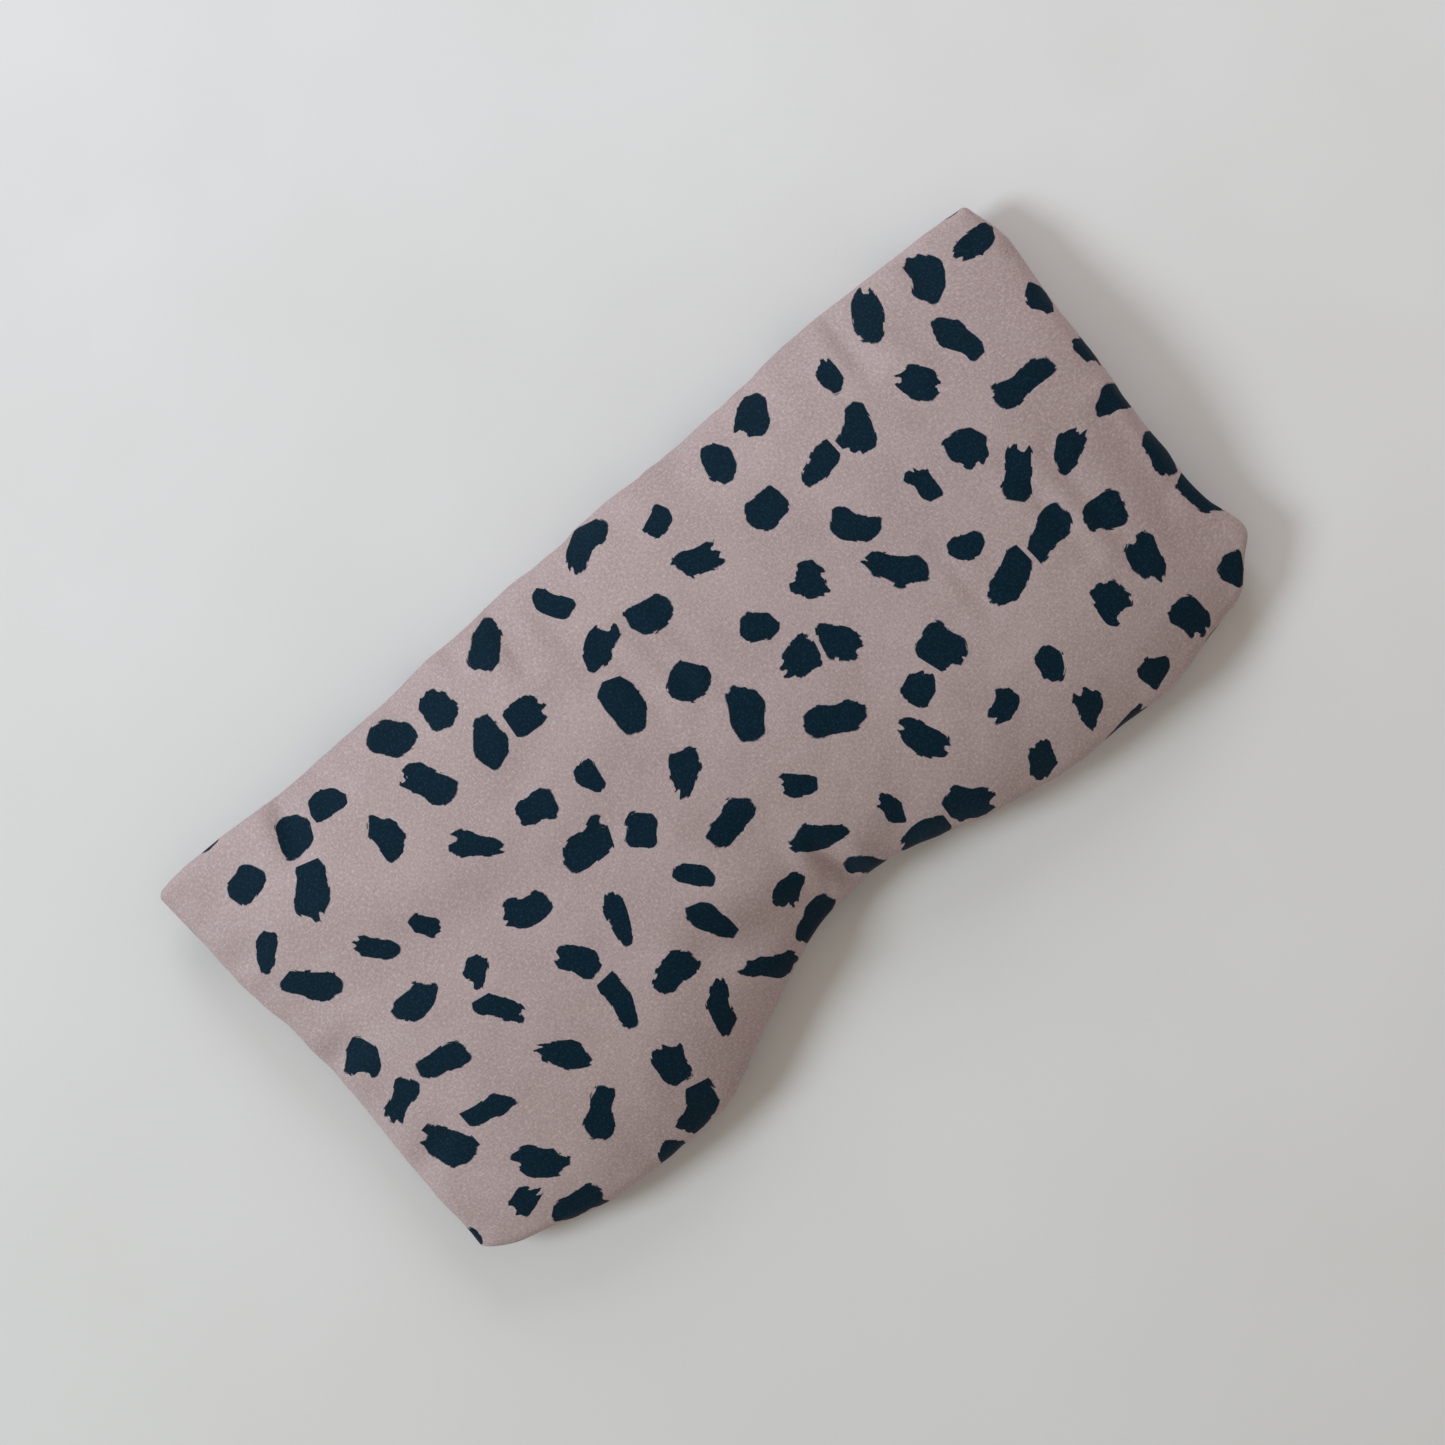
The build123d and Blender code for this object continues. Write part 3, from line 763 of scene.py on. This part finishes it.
linerMesh, linerRim = makeInner("linerBag", coverMesh, inner["linerCells"], inner["linerInset"],
                                inner["linerGap"], calico, ["liner_front", "liner_back"])
makeInner("seedFill", linerMesh, inner["seedCells"], inner["seedInset"], inner["seedGap"],
          flax, ["seed_fill"])
print("Liner and seeds ready")


# Stitches along a line: lockstitches lie along it, and a ladder stitch's rungs stand across it
stitches = {
    "pitch": 3.0 * mm,
    "length": 2.6 * mm,
    "thread": 0.25 * mm,
    "side": 0.32 * mm,           # how far each row lies above or below the seam
    "inset": 1.5 * mm,           # and in from the rim
    "rungPitch": 4.0 * mm,
    "rung": 1.3 * mm,
    "coverOpening": 60 * mm,
    "linerOpening": 50 * mm,
    "browDepth": 15 * mm,        # rim vertices no farther from the brow edge than this are its own
}


def makeStitchTree(name, upright):
    tree = bpy.data.node_groups.new(name, "GeometryNodeTree")
    tree.interface.new_socket("Geometry", in_out="INPUT", socket_type="NodeSocketGeometry")
    for label, value in (("Spacing", "pitch"), ("Length", "length"), ("Thickness", "thread")):
        socket = tree.interface.new_socket(label, in_out="INPUT", socket_type="NodeSocketFloat")
        socket.default_value = stitches[value]
    tree.interface.new_socket("Thread", in_out="INPUT", socket_type="NodeSocketMaterial")
    tree.interface.new_socket("Geometry", in_out="OUTPUT", socket_type="NodeSocketGeometry")
    given = tree.nodes.new("NodeGroupInput").outputs
    line = addNode(tree, "GeometryNodeMeshToCurve", {"Mesh": given["Geometry"]})
    places = addNode(tree, "GeometryNodeResampleCurve", {"Curve": line, "Length": given["Spacing"]},
                     mode="LENGTH")
    half = addNode(tree, "ShaderNodeMath", [given["Length"], 0.5], operation="MULTIPLY")
    back = addNode(tree, "ShaderNodeMath", [half, -1.0], operation="MULTIPLY")
    axis = 2 if upright else 0
    start = addNode(tree, "ShaderNodeCombineXYZ", {axis: back})
    end = addNode(tree, "ShaderNodeCombineXYZ", {axis: half})
    stitch = addNode(tree, "GeometryNodeCurvePrimitiveLine", {"Start": start, "End": end})
    stitch = addNode(tree, "GeometryNodeResampleCurve", {"Curve": stitch, "Count": 5})
    # a stitch narrows towards its ends, where it dips into the cloth
    share = addNode(tree, "GeometryNodeSplineParameter", out="Factor")
    swell = addNode(tree, "ShaderNodeMath", [share, math.pi], operation="MULTIPLY")
    swell = addNode(tree, "ShaderNodeMath", [swell], operation="SINE")
    swell = addNode(tree, "ShaderNodeMath", [swell, 0.5, 0.5], operation="MULTIPLY_ADD")
    radius = addNode(tree, "ShaderNodeMath", [given["Thickness"], 0.5], operation="MULTIPLY")
    ring = addNode(tree, "GeometryNodeCurvePrimitiveCircle", {"Resolution": 6, "Radius": radius})
    tube = addNode(tree, "GeometryNodeCurveToMesh", {"Curve": stitch, "Profile Curve": ring, "Scale": swell,
                                                     "Fill Caps": True})
    tangent = addNode(tree, "GeometryNodeInputTangent")
    turn = addNode(tree, "FunctionNodeAlignRotationToVector", {"Vector": tangent}, axis="X")
    placing = {"Points": places, "Instance": tube}
    if not upright:
        placing["Rotation"] = turn
    dots = addNode(tree, "GeometryNodeInstanceOnPoints", placing)
    real = addNode(tree, "GeometryNodeRealizeInstances", {"Geometry": dots})
    done = addNode(tree, "GeometryNodeSetMaterial", {"Geometry": real, "Material": given["Thread"]})
    addNode(tree, "NodeGroupOutput", [done])
    return tree


lockStitch, ladderStitch = makeStitchTree("lockStitch", False), makeStitchTree("ladderStitch", True)


# sews stitches along open lines, and gives them as one plain mesh
def sew(name, lines, tree, values, replaced, material):
    points = [tuple(point) for line in lines for point in line]
    edges, start = [], 0
    for line in lines:
        edges += [(start + k, start + k + 1) for k in range(len(line) - 1)]
        start += len(line)
    mesh = bpy.data.meshes.new(name)
    mesh.from_pydata(points, edges, [])
    guide = linkedObject(name + "Line", mesh)
    modifier = guide.modifiers.new("stitches", "NODES")
    modifier.node_group = tree
    for item in tree.interface.items_tree:
        if item.in_out == "INPUT" and item.name in values:
            modifier[item.identifier] = values[item.name]
    sewn = bpy.data.meshes.new_from_object(guide.evaluated_get(bpy.context.evaluated_depsgraph_get()))
    bpy.data.objects.remove(guide)
    piece = linkedObject(name, sewn)
    sewn.name = name
    finishPiece(piece, material, replaced)


# the rim as an open line that leaves the opening free, and the part of it in the opening
def splitRim(rim, opening):
    inOpening = (rim[:, 1] > browY - stitches["browDepth"]) & (np.abs(rim[:, 0]) < opening / 2)
    first = int(np.where(inOpening)[0][0])
    turned, flags = np.roll(rim, -first, axis=0), np.roll(inOpening, -first)
    return turned[~flags], turned[flags]


def seamLines(line, inset):
    tangent = np.gradient(line[:, :2], axis=0)
    inward = np.stack([-tangent[:, 1], tangent[:, 0]], axis=1)
    inward /= np.linalg.norm(inward, axis=1, keepdims=True)
    lines = []
    for side in (1, -1):
        moved = line.copy()
        moved[:, :2] += inward * inset
        moved[:, 2] += side * stitches["side"]
        lines.append(moved)
    return lines


for bag, rim, material in (("cover", coverRim, pinkThread), ("liner", linerRim, creamThread)):
    seam, mouth = splitRim(rim, stitches[bag + "Opening"])
    values = {"Spacing": stitches["pitch"], "Length": stitches["length"], "Thickness": stitches["thread"],
              "Thread": material}
    sew(bag + "SeamStitches", seamLines(seam, stitches["inset"]), lockStitch, values,
        [bag + "_needle_thread", bag + "_bobbin_thread"], material)
    values.update(Spacing=stitches["rungPitch"], Length=stitches["rung"])
    sew(bag + "ClosingStitches", [mouth], ladderStitch, values,
        [bag + "_closing_thread"], material)
print("Stitches ready")


# Floor, light and camera. The lights' places are given to the camera's right, up and towards it
stage = {
    "floor": "#DADAD8",          # the board's colour at the bottom of the view, and at its top, where painted light from the window makes it lighter
    "floorPaintedWindowLight": "#E8E8E8",
    "floorShade": "#D2D0CB",     # its faint clouds
    "floorSize": 3.0,
    "imageWidth": 294.9 * mm,    # what the camera sees across, at the height where it is measured
    "widthHeight": 10 * mm,
    "cameraHeight": 0.80,
    "turn": math.radians(-40.59),
    "aim": (0.9 * mm, 5.9 * mm),
    "ambient": 0.44,
    "ambientColour": "#FFF4E9",
    "lights": {
        "window": {"place": (-0.20, 0.90, 0.50), "size": 0.50, "power": 3.43, "colour": "#EEF3FF"},
        "lamp": {"place": (-1.00, -0.20, 0.80), "size": 0.45, "power": 9.38, "colour": "#E6F5FF"},
    },
}


# Painted board: flat and matt, with a faint grain, and painted light that makes it lighter towards the window
# at the top of the view
def makeFloor():
    material, tree = startMaterial("painted_board")
    place = addNode(tree, "ShaderNodeTexCoord", out="Object")
    cloud = addNode(tree, "ShaderNodeTexNoise", {"Vector": place, "Scale": 14.0, "Detail": 3.0})
    cloud = addNode(tree, "ShaderNodeMapRange", [cloud, 0.3, 0.7, 0.0, 0.3])
    # painted light: the colour grows lighter across the view towards its top, as if the window lit it more
    # there
    up = (-math.sin(stage["turn"]), math.cos(stage["turn"]), 0.0)
    far = addNode(tree, "ShaderNodeVectorMath", [place, up], "Value", operation="DOT_PRODUCT")
    far = addNode(tree, "ShaderNodeMapRange", [far, -stage["imageWidth"] / 2, stage["imageWidth"] / 2])
    colour = addNode(tree, "ShaderNodeMix", {0: far, 6: linearColour(stage["floor"]),
                                             7: linearColour(stage["floorPaintedWindowLight"])}, 2, data_type="RGBA")
    colour = addNode(tree, "ShaderNodeMix", {0: cloud, 6: colour, 7: linearColour(stage["floorShade"])}, 2,
                     data_type="RGBA")
    grain = addNode(tree, "ShaderNodeTexNoise", {"Vector": place, "Scale": 0.9 / mm, "Detail": 2.0})
    bump = addNode(tree, "ShaderNodeBump", {"Height": grain, "Distance": 0.05 * mm, "Strength": 0.15})
    shader = addNode(tree, "ShaderNodeBsdfPrincipled", {
        "Base Color": colour, "Roughness": 0.75, "Specular IOR Level": 0.2, "Normal": bump,
    })
    addNode(tree, "ShaderNodeOutputMaterial", [shader])
    half = stage["floorSize"] / 2
    corners = [(-half, -half, 0), (half, -half, 0), (half, half, 0), (-half, half, 0)]
    mesh = bpy.data.meshes.new("floor")
    mesh.from_pydata(corners, [], [(0, 1, 2, 3)])
    mesh.materials.append(material)
    linkedObject("floor", mesh)


def makeLight(name, place, size, power, colour):
    right = Vector((math.cos(stage["turn"]), math.sin(stage["turn"]), 0))
    up = Vector((-right.y, right.x, 0))
    data = bpy.data.lights.new(name, "AREA")
    data.shape = "DISK"
    data.size = size
    data.energy = power
    data.color = linearColour(colour)[:3]
    light = linkedObject(name, data)
    light.location = right * place[0] + up * place[1] + Vector((0, 0, place[2]))
    light.rotation_euler = (-light.location).to_track_quat("-Z", "Y").to_euler()


def makeCamera():
    data = bpy.data.cameras.new("camera")
    data.sensor_width = 36
    data.lens = data.sensor_width * (stage["cameraHeight"] - stage["widthHeight"]) / stage["imageWidth"]
    camera = linkedObject("camera", data)
    camera.location = (*stage["aim"], stage["cameraHeight"])
    camera.rotation_euler = (0, 0, stage["turn"])
    bpy.context.scene.camera = camera


def makeWorld():
    world = bpy.data.worlds.new("softRoom")
    world.use_nodes = True
    background = world.node_tree.nodes["Background"]
    background.inputs[0].default_value = linearColour(stage["ambientColour"])
    background.inputs[1].default_value = stage["ambient"]
    bpy.context.scene.world = world


makeFloor()
makeWorld()
for name, values in stage["lights"].items():
    makeLight(name, **values)
makeCamera()
bpy.context.scene.view_settings.view_transform = "Standard"
print("Stage ready")
